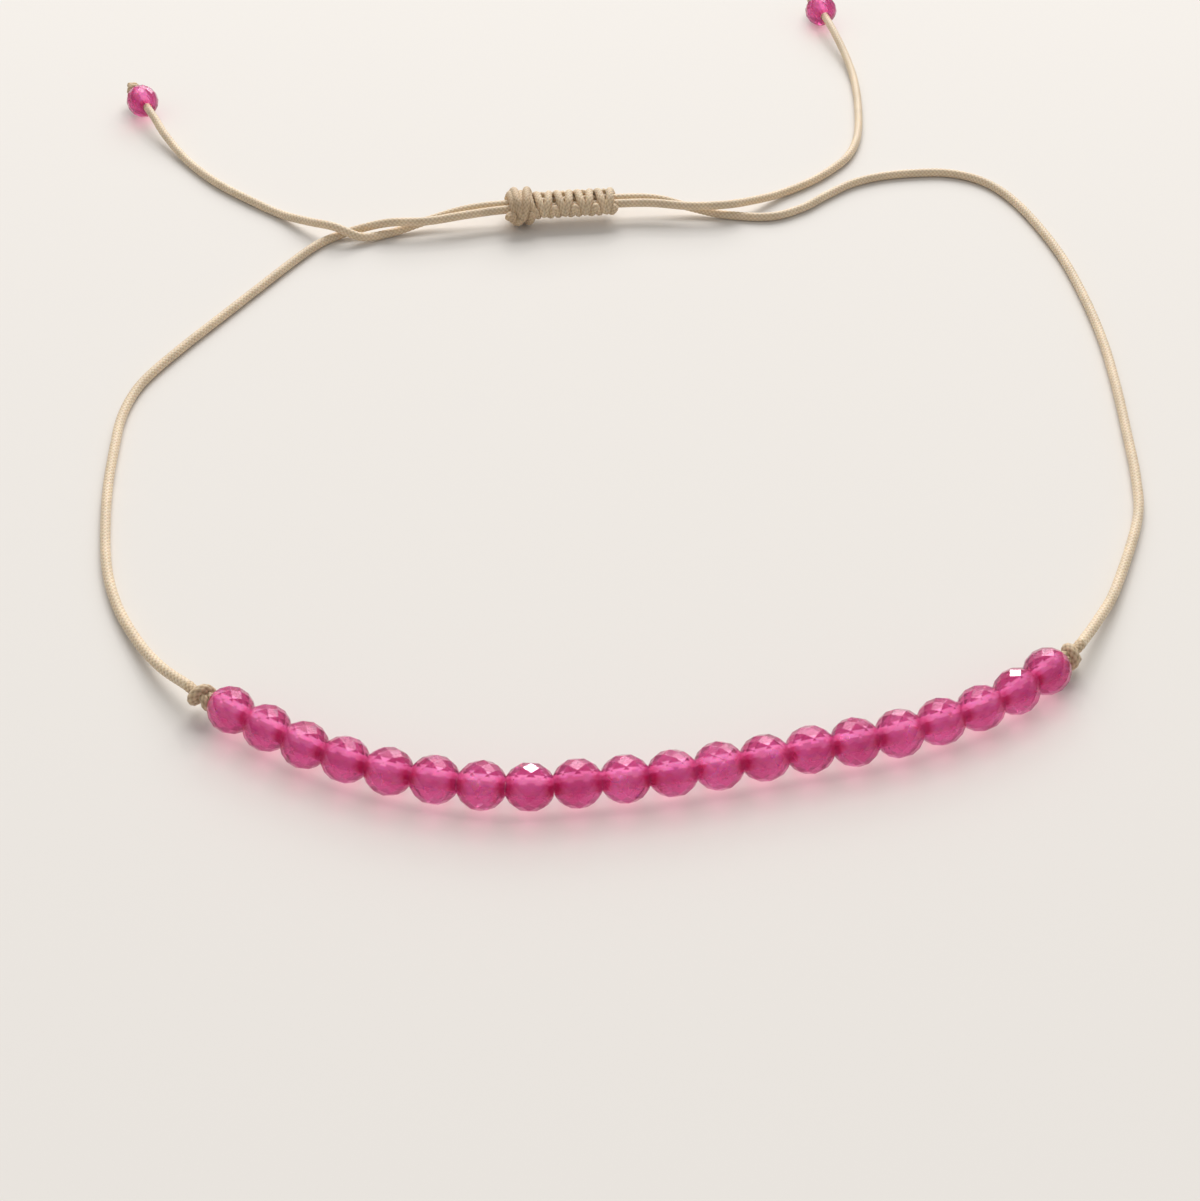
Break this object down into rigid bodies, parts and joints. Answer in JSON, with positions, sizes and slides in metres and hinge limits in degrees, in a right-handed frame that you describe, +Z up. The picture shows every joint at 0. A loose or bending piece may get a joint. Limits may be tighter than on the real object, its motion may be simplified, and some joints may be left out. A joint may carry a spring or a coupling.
{
  "type": "gemstone bead bracelet",
  "caption": "Adjustable bracelet: a row of small faceted ruby-pink beads on a fine braided cord, closed by a sliding knot with a bead on each tail.",
  "frame": {"origin": "on the surface that the bracelet lies on, below the middle of the box round the bead row, its stopper knots and the sliding knot", "axes": "+Z up from the surface, +Y from the bead row to the sliding knot at the back, +X to the right as seen from the bead row"},
  "size_m": [0.057, 0.0747, 0.0021],
  "materials": {
    "gemstone": "polished, faceted, slightly cloudy and translucent ruby pink",
    "cord": "fine round braid, waxed, light golden beige",
    "knotted_cord": "the same waxed cord pulled tight in knots, darker olive beige"
  },
  "bodies": {
    "root": {"bead_01": "gemstone", "bead_02": "gemstone", "bead_03": "gemstone", "bead_04": "gemstone", "bead_05": "gemstone", "bead_06": "gemstone", "bead_07": "gemstone", "bead_08": "gemstone", "bead_09": "gemstone", "bead_10": "gemstone", "bead_11": "gemstone", "bead_12": "gemstone", "bead_13": "gemstone", "bead_14": "gemstone", "bead_15": "gemstone", "bead_16": "gemstone", "bead_17": "gemstone", "bead_18": "gemstone", "bead_19": "gemstone", "bead_20": "gemstone", "tail_bead_left": "gemstone", "tail_bead_right": "gemstone", "cord_left": "cord", "cord_right": "cord", "thread": "cord", "knot_left": "knotted_cord", "knot_right": "knotted_cord", "end_knot_left": "knotted_cord", "end_knot_right": "knotted_cord", "slider": "knotted_cord"}
  },
  "joints": []
}
